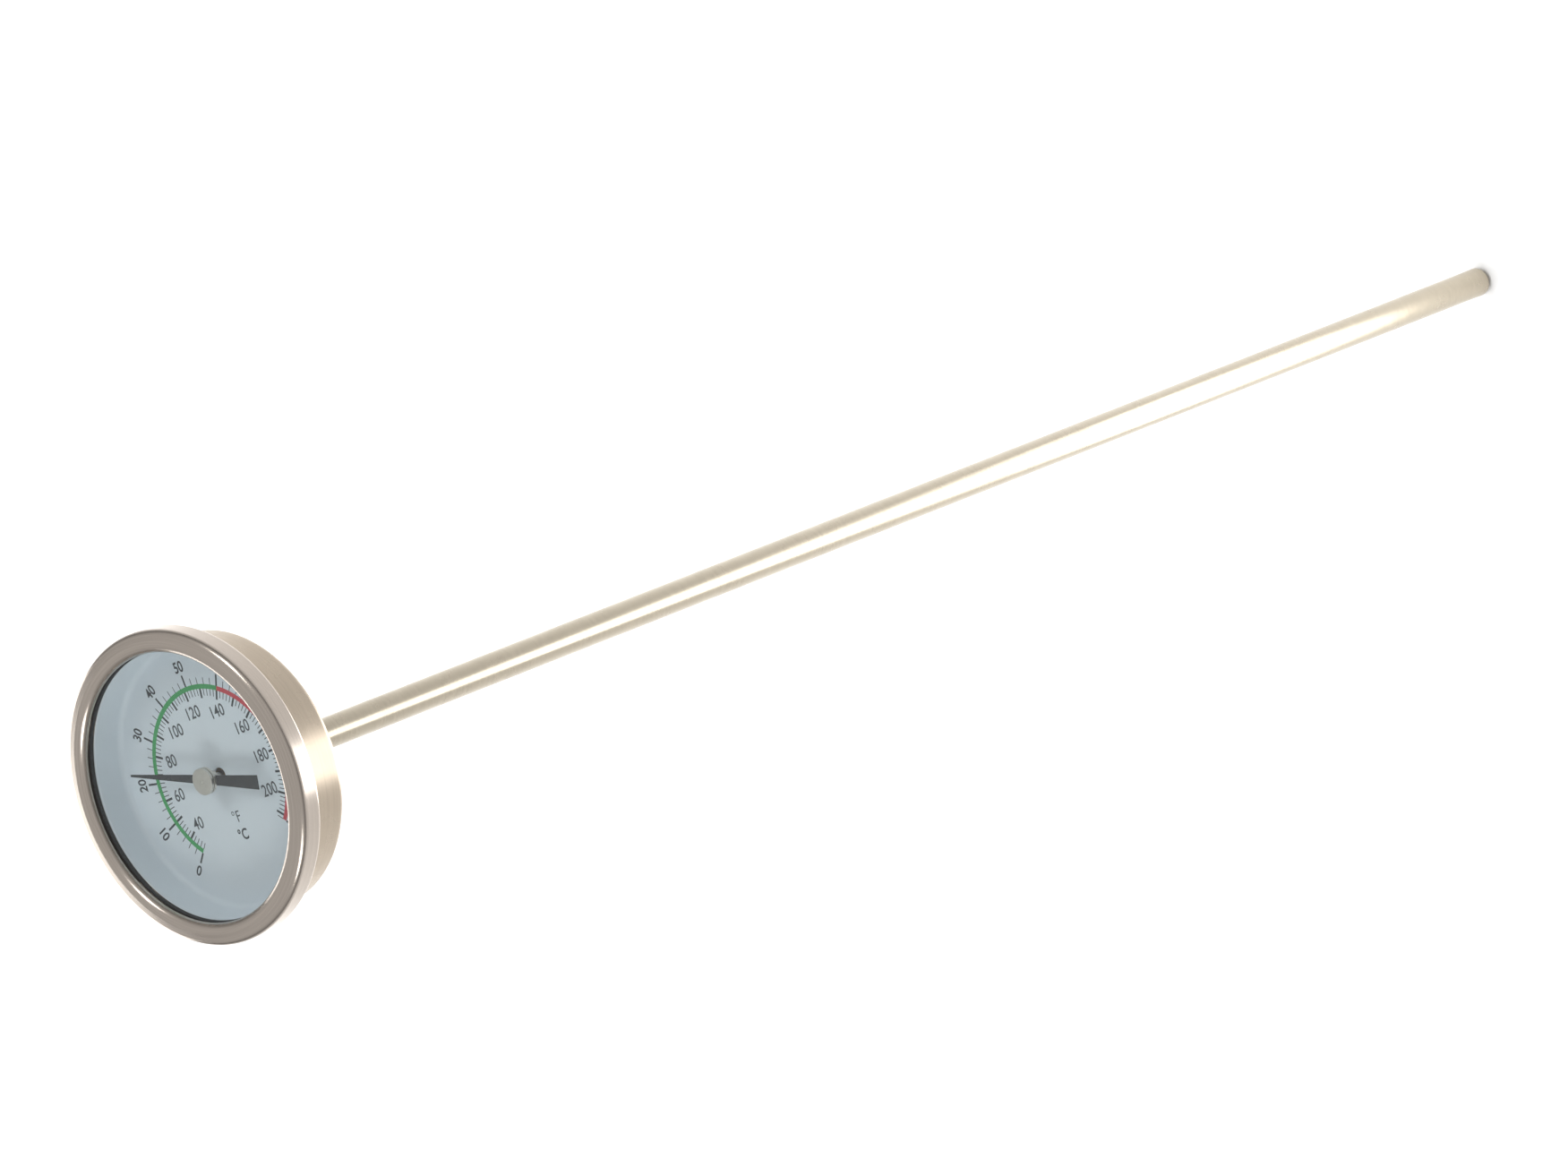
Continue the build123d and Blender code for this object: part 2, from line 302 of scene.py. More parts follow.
def rounded(points, radii, closed=False, steps=8):
    """The path with an arc of each corner's radius in place of the corner. No radius, no arc."""
    count = len(points)
    path = []
    for index, corner in enumerate(points):
        radius = radii[index]
        at_end = not closed and index in (0, count - 1)
        if at_end or radius <= 0:
            path.append(corner)
            continue
        before = Vector(points[index - 1]) - Vector(corner)
        after = Vector(points[(index + 1) % count]) - Vector(corner)
        half_turn = before.angle(after) / 2
        cut = radius / math.tan(half_turn)
        centre_way = (before.normalized() + after.normalized()).normalized()
        centre = Vector(corner) + centre_way * radius / math.sin(half_turn)
        first = Vector(corner) + before.normalized() * cut - centre
        last = Vector(corner) + after.normalized() * cut - centre
        sweep = first.angle_signed(last)
        for step in range(steps + 1):
            turned = Matrix.Rotation(-sweep * step / steps, 2) @ first
            path.append(tuple(centre + turned))
    return path


def sheet_outline(path, thickness):
    """Closed outline of sheet metal of this thickness along a middle line."""
    left, right = [], []
    for index, point in enumerate(path):
        ahead = Vector(path[min(index + 1, len(path) - 1)]) - Vector(path[max(index - 1, 0)])
        side = Vector((-ahead.y, ahead.x)).normalized() * thickness / 2
        left.append(tuple(Vector(point) + side))
        right.append(tuple(Vector(point) - side))
    return left + right[::-1]


SUPPORT = 0.03 * MM


def supported(outline):
    """The closed outline with a point close to each end of its long runs, so they shade flat.

    An end on the axis gets none, because a ring that small garbled what shows through the pane.
    """
    path = []
    for index, point in enumerate(outline):
        path.append(point)
        following = outline[(index + 1) % len(outline)]
        run = Vector(following) - Vector(point)
        if run.length > 8 * SUPPORT:
            step = run.normalized() * SUPPORT
            if point[0] > SUPPORT:
                path.append(tuple(Vector(point) + step))
            if following[0] > SUPPORT:
                path.append(tuple(Vector(following) - step))
    return path


def lathe(name, outline, material, sides=256, crease=32):
    """Turns a closed outline of (radius, height) round the vertical axis into a solid mesh."""
    outline = supported(outline)
    shape = bmesh.new()
    rings = []
    for radius, height in outline:
        if radius < 1e-7:
            rings.append([shape.verts.new((0, 0, height))])
            continue
        ring = []
        for side in range(sides):
            angle = 2 * math.pi * side / sides
            ring.append(shape.verts.new((radius * math.cos(angle), radius * math.sin(angle), height)))
        rings.append(ring)
    for ring, above in zip(rings, rings[1:] + rings[:1]):
        if len(ring) == 1 and len(above) == 1:
            continue
        for side in range(sides):
            following = (side + 1) % sides
            corners = []
            for vertex in (
                ring[side % len(ring)],
                ring[following % len(ring)],
                above[following % len(above)],
                above[side % len(above)],
            ):
                if vertex not in corners:
                    corners.append(vertex)
            shape.faces.new(corners)
    bmesh.ops.recalc_face_normals(shape, faces=shape.faces)
    mesh = bpy.data.meshes.new(name)
    shape.to_mesh(mesh)
    shape.free()
    mesh.shade_smooth()
    mesh.set_sharp_from_angle(angle=math.radians(crease))
    mesh.materials.append(material)
    piece = bpy.data.objects.new(name, mesh)
    bpy.context.scene.collection.objects.link(piece)
    print(f"{name}: {len(mesh.polygons)} faces")
    return piece


def settle(piece, body, slot_name, *nodes):
    """Lets a finished piece ride on its body and stand for its CAD nodes. Its slot name is not used.
    """
    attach(piece, body)
    if nodes:
        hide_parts(*nodes)
    return piece


# %% [markdown]
# ## Bezel and case
# Both are 0.6 mm sheet. The bezel is rolled from a ring: its inner lip turns down on to the glass,
# its front slopes back outside a crest, and its rear edge is crimped in under the case's flange.
# The case is a drawn cup. They are turned here at a high resolution, because their broad
# reflections would show the facets of a coarser mesh.

# %% Turn the bezel and the case
SHEET = 0.6
bezel_outer = bezel_high.x / MM
bezel_rear = (FRONT - bezel_low.z) / MM
glass_front = (FRONT - glass_high.z) / MM
lip_inner = 27.4
crimp_inner = 28.8
crest_radius, slope_drop = 29.4, 0.55


def at(radius_mm, depth_mm):
    """A point of an outline from its radius and its depth behind the bezel front, in mm."""
    return (radius_mm * MM, depth(depth_mm))


bezel_path = rounded(
    [
        at(lip_inner + SHEET / 2, glass_front),
        at(lip_inner + SHEET / 2, SHEET / 2),
        at(crest_radius, SHEET / 2),
        at(bezel_outer - SHEET / 2, SHEET / 2 + slope_drop),
        at(bezel_outer - SHEET / 2, bezel_rear - SHEET / 2),
        at(crimp_inner, bezel_rear - SHEET / 2),
    ],
    [0, 1.19 * MM, 3.0 * MM, 1.0 * MM, 0.5 * MM, 0],
    steps=10,
)
bezel = lathe("bezel", sheet_outline(bezel_path, SHEET * MM), bezel_steel, sides=320)
settle(bezel, "housing", "stainless_polished", "bezel_ring")

case_outer = 28.2
case_flange = (FRONT - case_high.z) / MM
case_back = (FRONT - case_low.z) / MM
flange_outer = case_high.x / MM
bush_hole = 4.5
case_path = rounded(
    [
        at(flange_outer, case_flange + SHEET / 2),
        at(case_outer - SHEET / 2, case_flange + SHEET / 2),
        at(case_outer - SHEET / 2, case_back - SHEET / 2),
        at(bush_hole, case_back - SHEET / 2),
    ],
    [0, 0.7 * MM, 1.2 * MM, 0],
    steps=10,
)
case = lathe("case", sheet_outline(case_path, SHEET * MM), case_steel, sides=320)
settle(case, "housing", "stainless_satin", "case_cup")

# %% [markdown]
# ## Window and gasket
# The pane is 1.5 mm float glass with its edges just broken. The gasket is a flat ring punched from
# rubber sheet, so the punch slightly rounds its edges.

# %% Turn the window and the gasket
glass_outer = glass_high.x / MM
glass_back = (FRONT - glass_low.z) / MM
pane_outline = rounded(
    [
        (0, depth(glass_front)),
        at(glass_outer, glass_front),
        at(glass_outer, glass_back),
        (0, depth(glass_back)),
    ],
    [0, 0.2 * MM, 0.2 * MM, 0],
    closed=True,
    steps=4,
)
pane = lathe("window", pane_outline, window_glass)
settle(pane, "housing", "window_glass", "window_glass")

gasket_inner = 27.4
gasket_back = (FRONT - gasket_low.z) / MM
gasket_outline = rounded(
    [
        at(gasket_inner, glass_back),
        at(glass_outer, glass_back),
        at(glass_outer, gasket_back),
        at(gasket_inner, gasket_back),
    ],
    [0.12 * MM] * 4,
    closed=True,
    steps=4,
)
gasket = lathe("gasket", gasket_outline, black_rubber)
settle(gasket, "housing", "black_rubber", "window_gasket")

# %% [markdown]
# ## Dial pan
# The dial is pressed from 0.3 mm sheet as a shallow pan, so its white wall hides the inside of the
# case. The fillet where the floor meets the wall catches a soft line of light.

# %% Turn the dial pan
rim_depth = (FRONT - pan_high.z) / MM
floor_depth = (FRONT - DIAL_FACE) / MM
dial_sheet = DIAL_SHEET / MM
wall_radius = 27.2
dial_hole = 1.5
pan_path = rounded(
    [
        at(pan_high.x / MM, rim_depth + dial_sheet / 2),
        at(wall_radius + dial_sheet / 2, rim_depth + dial_sheet / 2),
        at(wall_radius + dial_sheet / 2, floor_depth + dial_sheet / 2),
        at(dial_hole, floor_depth + dial_sheet / 2),
    ],
    [0, 0.35 * MM, 1.35 * MM, 0],
    steps=10,
)
dial = lathe("dial", sheet_outline(pan_path, DIAL_SHEET), enamel)
settle(dial, "housing", "white_enamel", "dial_pan")

# %% [markdown]
# ## Stem, tip and collar
# The stem is a seamless tube, centreless ground to a satin finish. Its tip is a plug welded in and
# dressed to a soft round. Its top is turned down to a seat, and the shoulder stops against the
# collar behind the case, which is turned with its edges broken.

# %% Turn the stem, the tip and the collar
stem_wall = 0.5 * MM
tube_bore = STEM_RADIUS - stem_wall
seat_radius = 2.925 * MM
tube_outline = [
    (tube_bore, tube_low.z),
    (STEM_RADIUS, tube_low.z),
    (STEM_RADIUS, collar_low.z),
    (seat_radius, collar_low.z),
    (seat_radius, tube_high.z),
    (tube_bore, tube_high.z),
]
stem = lathe("stem", tube_outline, stem_steel, sides=96)
settle(stem, "housing", "stainless_stem", "stem_tube")

tip_outline = rounded(
    [
        (0, tip_low.z),
        (STEM_RADIUS, tip_low.z),
        (STEM_RADIUS, tube_low.z),
        (tube_bore, tube_low.z),
        (tube_bore, tip_high.z),
        (0, tip_high.z),
    ],
    [0, 1.4 * MM, 0, 0, 0.3 * MM, 0],
    closed=True,
)
tip = lathe("stem_tip", tip_outline, stem_steel, sides=96)
settle(tip, "housing", "stainless_stem", "stem_tip_plug")

collar_outer = collar_high.x
socket_depth = 1.2 * MM
collar_outline = rounded(
    [
        (bush_hole * MM, collar_high.z),
        (collar_outer, collar_high.z),
        (collar_outer, collar_low.z),
        (seat_radius, collar_low.z),
        (seat_radius, collar_high.z - socket_depth),
        (bush_hole * MM, collar_high.z - socket_depth),
    ],
    [0, 0.15 * MM, 0.8 * MM, 0.1 * MM, 0, 0],
    closed=True,
)
collar = lathe("collar", collar_outline, collar_steel, sides=128)
settle(collar, "housing", "stainless_turned", "stem_collar")

# %% [markdown]
# ## Hub and pointer
# The hub is turned from brass and nickel plated: a front disc, a groove, a second disc, and a
# punched dimple in the middle. The pointer is blanked from thin aluminium. Its needle tapers to
# the tip and its square tail balances it, and every edge is rounded a little by the paint.

# %% Turn the hub
hub_outer = hub_high.x
blade_top = blade_high.z
spigot_radius = 1.0 * MM
groove_radius = 2.3 * MM
bore_radius = 0.75 * MM
front_disc = 0.6 * MM
groove_width = 0.25 * MM
face_thickness = 0.5 * MM
dimple_radius = 0.45 * MM
dimple_depth = 0.25 * MM
dimple_steps = 6
dimple = []
for step in range(dimple_steps + 1):
    angle = math.pi / 2 * step / dimple_steps
    dimple.append(
        (dimple_radius * math.sin(angle), hub_high.z - dimple_depth * math.cos(angle))
    )
hub_outline = dimple + rounded(
    [
        (dimple_radius, hub_high.z),
        (hub_outer, hub_high.z),
        (hub_outer, hub_high.z - front_disc),
        (groove_radius, hub_high.z - front_disc),
        (groove_radius, hub_high.z - front_disc - groove_width),
        (hub_outer, hub_high.z - front_disc - groove_width),
        (hub_outer, blade_top),
        (spigot_radius, blade_top),
        (spigot_radius, hub_low.z),
        (bore_radius, hub_low.z),
        (bore_radius, hub_high.z - face_thickness),
        (0, hub_high.z - face_thickness),
    ],
    [0, 0.15 * MM, 0.06 * MM, 0, 0, 0.06 * MM, 0.08 * MM, 0, 0, 0, 0, 0],
    steps=5,
)[1:]
hub = lathe("hub", hub_outline, hub_nickel, sides=128)
settle(hub, "pointer", "hub_plated", "pointer_hub")

# %% Blank the pointer
pointer_turn = math.radians(163.2)
needle_reach, needle_tip = 21.5, 0.4
needle_middle, needle_middle_width = 11.3, 1.18
root_width = 1.9
tail_reach, tail_width = 13.9, 2.9
boss_radius = 1.4


def blank_pointer(name):
    """The pointer's outline with its boss, cut from sheet and bevelled as paint rounds it."""
    half_boss = math.asin(root_width / 2 / boss_radius)
    boss_steps = 16
    boss = []
    for step in range(boss_steps + 1):
        angle = half_boss + (math.pi - 2 * half_boss) * step / boss_steps
        boss.append((boss_radius * math.cos(angle), boss_radius * math.sin(angle)))
    upper = [(needle_reach, needle_tip / 2), (needle_middle, needle_middle_width / 2), *boss,
             (-tail_reach, tail_width / 2)]
    lower = [(x, -y) for x, y in reversed(upper)]
    hole_steps = 48
    hole = [
        (spigot_radius / MM * math.cos(2 * math.pi * step / hole_steps),
         spigot_radius / MM * math.sin(2 * math.pi * step / hole_steps))
        for step in range(hole_steps)
    ]
    shape = bmesh.new()
    edges = []
    for loop in (upper + lower, hole):
        points = [shape.verts.new((x * MM, y * MM, 0)) for x, y in loop]
        for first, second in zip(points, points[1:] + points[:1]):
            edges.append(shape.edges.new((first, second)))
    bmesh.ops.triangle_fill(shape, edges=edges, use_beauty=True)
    thickness = blade_high.z - blade_low.z
    grown = bmesh.ops.extrude_face_region(shape, geom=shape.faces[:])
    raised = [part for part in grown["geom"] if isinstance(part, bmesh.types.BMVert)]
    bmesh.ops.translate(shape, verts=raised, vec=(0, 0, thickness))
    bmesh.ops.recalc_face_normals(shape, faces=shape.faces)
    rims = [edge for edge in shape.edges if edge.calc_face_angle(0) > 1.2]
    bmesh.ops.bevel(shape, geom=rims, offset=0.05 * MM, segments=2, affect="EDGES")
    bmesh.ops.transform(
        shape,
        matrix=Matrix.Translation((0, 0, blade_low.z)) @ Matrix.Rotation(pointer_turn, 4, "Z"),
        verts=shape.verts,
    )
    mesh = bpy.data.meshes.new(name)
    shape.to_mesh(mesh)
    shape.free()
    mesh.shade_smooth()
    mesh.set_sharp_from_angle(angle=math.radians(30))
    mesh.materials.append(pointer_paint)
    piece = bpy.data.objects.new(name, mesh)
    bpy.context.scene.collection.objects.link(piece)
    print(f"{name}: {len(mesh.polygons)} faces")
    return piece


blade = blank_pointer("pointer")
settle(blade, "pointer", "pointer_black", "pointer_blade")

# %% [markdown]
# ## Marks of the scale, by Geometry Nodes
# The marks are the part that repeats, so a node tree makes them: it sets out points evenly round an
# arc and puts a thin bar on each, turned to face the centre. Its inputs are the sizes a scale
# designer would choose. Four runs of the same tree give the long and short marks of both scales.
# Angles run clockwise from twelve o'clock, as on a drawing of a dial.

# %% The tree that lays out marks
INK = 0.02 * MM


def inputs_of(tree, wanted):
    """Adds named inputs to a Geometry Nodes tree and returns its group input node."""
    for name, kind in wanted:
        tree.interface.new_socket(name, in_out="INPUT", socket_type=kind)
    tree.interface.new_socket("Geometry", in_out="OUTPUT", socket_type="NodeSocketGeometry")
    return tree.nodes.new("NodeGroupInput").outputs


def end_tree(tree, geometry, material):
    """Realizes the instances, sets their material and ends the tree."""
    real = add(tree, "GeometryNodeRealizeInstances", {"Geometry": geometry})
    inked = add(tree, "GeometryNodeSetMaterial", {"Geometry": real, "Material": material})
    add(tree, "NodeGroupOutput", {0: inked})


def mark_tree():
    """Bars round an arc, leaving out every one that falls on a longer mark."""
    tree = bpy.data.node_groups.new("scale_marks", "GeometryNodeTree")
    given = inputs_of(
        tree,
        [
            ("Count", "NodeSocketInt"),
            ("First Angle", "NodeSocketFloat"),
            ("Last Angle", "NodeSocketFloat"),
            ("Inner Radius", "NodeSocketFloat"),
            ("Outer Radius", "NodeSocketFloat"),
            ("Width", "NodeSocketFloat"),
            ("Thickness", "NodeSocketFloat"),
            ("Height", "NodeSocketFloat"),
            ("Leave Out Every", "NodeSocketInt"),
            ("Leave Out From", "NodeSocketInt"),
            ("Material", "NodeSocketMaterial"),
        ],
    )
    number = "ShaderNodeMath"
    index = add(tree, "GeometryNodeInputIndex")
    gaps = add(tree, number, {0: given["Count"], 1: 1.0}, operation="SUBTRACT")
    share = add(tree, number, {0: index, 1: gaps}, operation="DIVIDE")
    sweep = add(
        tree, number, {0: given["Last Angle"], 1: given["First Angle"]}, operation="SUBTRACT"
    )
    angle = add(
        tree, number, {0: share, 1: sweep, 2: given["First Angle"]}, operation="MULTIPLY_ADD"
    )
    inner, outer = given["Inner Radius"], given["Outer Radius"]
    both = add(tree, number, {0: inner, 1: outer}, operation="ADD")
    middle = add(tree, number, {0: both, 1: 0.5}, operation="MULTIPLY")
    length = add(tree, number, {0: outer, 1: inner}, operation="SUBTRACT")
    sine = add(tree, number, {0: angle}, operation="SINE")
    cosine = add(tree, number, {0: angle}, operation="COSINE")
    across = add(tree, number, {0: middle, 1: sine}, operation="MULTIPLY")
    upward = add(tree, number, {0: middle, 1: cosine}, operation="MULTIPLY")
    place = add(
        tree, "ShaderNodeCombineXYZ", {"X": across, "Y": upward, "Z": given["Height"]}
    )
    points = add(tree, "GeometryNodePoints", {"Count": given["Count"], "Position": place})
    size = add(
        tree, "ShaderNodeCombineXYZ", {"X": given["Width"], "Y": length, "Z": given["Thickness"]}
    )
    bar = add(tree, "GeometryNodeMeshCube", {"Size": size})
    counted = add(tree, number, {0: index, 1: given["Leave Out From"]}, operation="SUBTRACT")
    left = add(
        tree, number, {0: counted, 1: given["Leave Out Every"]}, operation="FLOORED_MODULO"
    )
    kept = add(tree, number, {0: left, 1: 0.5}, operation="GREATER_THAN")
    clockwise = add(tree, number, {0: angle, 1: -1.0}, operation="MULTIPLY")
    facing = add(tree, "ShaderNodeCombineXYZ", {"Z": clockwise})
    bars = add(
        tree,
        "GeometryNodeInstanceOnPoints",
        {"Points": points, "Selection": kept, "Instance": bar, "Rotation": facing},
    )
    end_tree(tree, bars, given["Material"])
    return tree


def grow(name, tree, values):
    """Runs a tree on an empty mesh with these inputs and returns the result as a plain mesh."""
    blank = bpy.data.meshes.new(name)
    piece = bpy.data.objects.new(name, blank)
    bpy.context.scene.collection.objects.link(piece)
    modifier = piece.modifiers.new(name, "NODES")
    modifier.node_group = tree
    sockets = {
        item.name: item.identifier
        for item in tree.interface.items_tree
        if item.item_type == "SOCKET" and item.in_out == "INPUT"
    }
    for label, value in values.items():
        modifier[sockets[label]] = value
    ready = piece.evaluated_get(bpy.context.evaluated_depsgraph_get())
    mesh = bpy.data.meshes.new_from_object(ready)
    piece.modifiers.remove(modifier)
    piece.data = mesh
    mesh.name = name
    bpy.data.meshes.remove(blank)
    print(f"{name}: {len(mesh.polygons)} faces")
    return piece


marks = mark_tree()

# %% Lay out both scales
CELSIUS_SWEEP = 270.0
DEGREE_C = CELSIUS_SWEEP / 100
DEGREE_F = CELSIUS_SWEEP / 180


def celsius(temperature):
    """Angle of a Celsius temperature on the dial, in radians clockwise from twelve o'clock."""
    return math.radians(temperature * DEGREE_C - CELSIUS_SWEEP / 2)


def fahrenheit(temperature):
    """Angle of a Fahrenheit temperature on the dial."""
    return math.radians((temperature - 32) * DEGREE_F - CELSIUS_SWEEP / 2)


ARC_INNER, ARC_OUTER = 17.5, 18.45
PRINT_HEIGHT = DIAL_FACE + INK / 2
NEVER = 1000


def lay_marks(name, count, first, last, inner, outer, width, every=NEVER, start=-1):
    """One set of marks on the dial face. Radii and widths are in millimetres."""
    return grow(
        name,
        marks,
        {
            "Count": count,
            "First Angle": first,
            "Last Angle": last,
            "Inner Radius": inner * MM,
            "Outer Radius": outer * MM,
            "Width": width * MM,
            "Thickness": INK,
            "Height": PRINT_HEIGHT,
            "Leave Out Every": every,
            "Leave Out From": start,
            "Material": black_ink,
        },
    )


mark_sets = [
    lay_marks("celsius_tens", 11, celsius(0), celsius(100), ARC_OUTER, 20.85, 0.42),
    lay_marks("celsius_twos", 51, celsius(0), celsius(100), ARC_OUTER, 19.8, 0.16, 5, 0),
    lay_marks("fahrenheit_tens", 18, fahrenheit(40), fahrenheit(210), 15.6, ARC_INNER, 0.46),
    lay_marks("fahrenheit_twos", 91, fahrenheit(32), fahrenheit(212), 16.1, ARC_INNER, 0.17, 5, 4),
]


# %% [markdown]
# ## Coloured arc
# Between the two scales runs a thin painted arc, green over the working temperatures and red above
# them. A second tree bends a long flat bar round the arc, by turning each point's X into an angle.

# %% The tree that bends a bar into an arc
def arc_tree():
    """A flat band round the dial between two angles."""
    tree = bpy.data.node_groups.new("scale_arc", "GeometryNodeTree")
    given = inputs_of(
        tree,
        [
            ("First Angle", "NodeSocketFloat"),
            ("Last Angle", "NodeSocketFloat"),
            ("Inner Radius", "NodeSocketFloat"),
            ("Outer Radius", "NodeSocketFloat"),
            ("Thickness", "NodeSocketFloat"),
            ("Height", "NodeSocketFloat"),
            ("Steps", "NodeSocketInt"),
            ("Material", "NodeSocketMaterial"),
        ],
    )
    number = "ShaderNodeMath"
    inner, outer = given["Inner Radius"], given["Outer Radius"]
    length = add(tree, number, {0: outer, 1: inner}, operation="SUBTRACT")
    both = add(tree, number, {0: inner, 1: outer}, operation="ADD")
    middle = add(tree, number, {0: both, 1: 0.5}, operation="MULTIPLY")
    size = add(tree, "ShaderNodeCombineXYZ", {"X": 1.0, "Y": length, "Z": given["Thickness"]})
    bar = add(tree, "GeometryNodeMeshCube", {"Size": size, "Vertices X": given["Steps"]})
    place = add(tree, "GeometryNodeInputPosition")
    split = add(tree, "ShaderNodeSeparateXYZ", {0: place})
    share = add(tree, number, {0: split.outputs["X"], 1: 0.5}, operation="ADD")
    sweep = add(
        tree, number, {0: given["Last Angle"], 1: given["First Angle"]}, operation="SUBTRACT"
    )
    angle = add(
        tree, number, {0: share, 1: sweep, 2: given["First Angle"]}, operation="MULTIPLY_ADD"
    )
    radius = add(tree, number, {0: split.outputs["Y"], 1: middle}, operation="ADD")
    sine = add(tree, number, {0: angle}, operation="SINE")
    cosine = add(tree, number, {0: angle}, operation="COSINE")
    across = add(tree, number, {0: radius, 1: sine}, operation="MULTIPLY")
    upward = add(tree, number, {0: radius, 1: cosine}, operation="MULTIPLY")
    raised = add(tree, number, {0: split.outputs["Z"], 1: given["Height"]}, operation="ADD")
    bent = add(tree, "ShaderNodeCombineXYZ", {"X": across, "Y": upward, "Z": raised})
    band = add(tree, "GeometryNodeSetPosition", {"Geometry": bar, "Position": bent})
    end_tree(tree, band, given["Material"])
    return tree


arcs = arc_tree()


def lay_arc(name, first, last, inner, outer, ink, steps=97):
    """One band of ink round the dial. Radii are in millimetres."""
    return grow(
        name,
        arcs,
        {
            "First Angle": first,
            "Last Angle": last,
            "Inner Radius": inner * MM,
            "Outer Radius": outer * MM,
            "Thickness": INK,
            "Height": PRINT_HEIGHT,
            "Steps": steps,
            "Material": ink,
        },
    )


SAFE_LIMIT = 60
green_arc = lay_arc(
    "arc_green", celsius(0), celsius(SAFE_LIMIT), ARC_INNER, ARC_OUTER, green_ink
)
red_arc = lay_arc("arc_red", celsius(SAFE_LIMIT), celsius(100), ARC_INNER, ARC_OUTER, red_ink)

# %% [markdown]
# ## Numerals
# The outer numerals stand along the arc, and the inner ones stand upright, narrow and grey. They are
# text turned to mesh, placed by the same angles as the marks. Round the bottom of the dial the
# outer numerals turn over so that they aren't read upside down.

# %% Set the numerals
def letter(words, height_mm, centre_mm, turn, ink, narrow=1.0, weight=0.0):
    """Flat text as a thin mesh: its capital height, its centre on the dial and its turn."""
    curve = bpy.data.curves.new(f"text_{words}", "FONT")
    curve.body = words
    curve.align_x = "CENTER"
    curve.offset = weight
    curve.resolution_u = 6
    holder = bpy.data.objects.new(f"text_{words}", curve)
    bpy.context.scene.collection.objects.link(holder)
    ready = holder.evaluated_get(bpy.context.evaluated_depsgraph_get())
    mesh = bpy.data.meshes.new_from_object(ready)
    bpy.data.objects.remove(holder)
    bpy.data.curves.remove(curve)
    xs = [vertex.co.x for vertex in mesh.vertices]
    ys = [vertex.co.y for vertex in mesh.vertices]
    scale = height_mm * MM / (max(ys) - min(ys))
    mesh.transform(Matrix.Translation((-(max(xs) + min(xs)) / 2, -(max(ys) + min(ys)) / 2, 0)))
    mesh.transform(Matrix.Diagonal((scale * narrow, scale, 1, 1)))
    mesh.transform(Matrix.Rotation(-turn, 4, "Z"))
    mesh.transform(
        Matrix.Translation((centre_mm[0] * MM, centre_mm[1] * MM, DIAL_FACE + INK))
    )
    mesh.materials.clear()
    mesh.materials.append(ink)
    piece = bpy.data.objects.new(f"text_{words}", mesh)
    bpy.context.scene.collection.objects.link(piece)
    return piece


def on_dial(angle, radius_mm):
    """A point of the dial, in millimetres, at this clockwise angle and radius."""
    return (radius_mm * math.sin(angle), radius_mm * math.cos(angle))


CELSIUS_NUMERAL_RADIUS, CELSIUS_NUMERAL_HEIGHT = 22.6, 2.3
FAHRENHEIT_NUMERAL_RADIUS, FAHRENHEIT_NUMERAL_HEIGHT = 13.3, 2.5
OVERTURNED = (0, 10, 90, 100)
numerals = []
for temperature in range(0, 101, 10):
    angle = celsius(temperature)
    turn = angle + math.pi if temperature in OVERTURNED else angle
    numerals.append(
        letter(
            str(temperature), CELSIUS_NUMERAL_HEIGHT, on_dial(angle, CELSIUS_NUMERAL_RADIUS),
            turn, black_ink, 0.86, 0.02,
        )
    )
for temperature in range(40, 201, 20):
    numerals.append(
        letter(
            str(temperature), FAHRENHEIT_NUMERAL_HEIGHT,
            on_dial(fahrenheit(temperature), FAHRENHEIT_NUMERAL_RADIUS), 0.0, grey_ink, 0.84, 0.008,
        )
    )
unit_marks = [
    letter("°F", 2.4, (0, -8.7), 0.0, grey_ink, 0.84, 0.0),
    letter("°C", 2.4, (0, -12.4), 0.0, black_ink, 0.84, 0.02),
]


# %% [markdown]
# ## Joining the print
# Marks of one ink are one layer on the real dial, so they are joined to one piece that rides on the
# housing. Text from a curve is a flat face, so each letter gets the ink's thickness too.

# %% Join the marks and the letters
def joined(name, pieces, thicken=0.0):
    """One object from several, with a wall of this thickness grown downwards if one is given."""
    shape = bmesh.new()
    for piece in pieces:
        shape.from_mesh(piece.data)
    if thicken:
        bmesh.ops.remove_doubles(shape, verts=shape.verts, dist=0.0005 * MM)
        grown = bmesh.ops.extrude_face_region(shape, geom=shape.faces[:])
        lowered = [part for part in grown["geom"] if isinstance(part, bmesh.types.BMVert)]
        bmesh.ops.translate(shape, verts=lowered, vec=(0, 0, -thicken))
        bmesh.ops.recalc_face_normals(shape, faces=shape.faces)
    mesh = bpy.data.meshes.new(name)
    for material in pieces[0].data.materials:
        mesh.materials.append(material)
    shape.to_mesh(mesh)
    shape.free()
    for piece in pieces:
        bpy.data.objects.remove(piece)
    whole = bpy.data.objects.new(name, mesh)
    bpy.context.scene.collection.objects.link(whole)
    print(f"{name}: {len(mesh.polygons)} faces")
    return whole


scale_marks = joined("scale_marks", mark_sets)
celsius_numerals = joined("celsius_numerals", numerals[:11] + unit_marks[1:], INK)
fahrenheit_numerals = joined("fahrenheit_numerals", numerals[11:] + unit_marks[:1], INK)
for printed in (scale_marks, celsius_numerals, fahrenheit_numerals, green_arc, red_arc):
    settle(printed, "housing", "white_enamel")
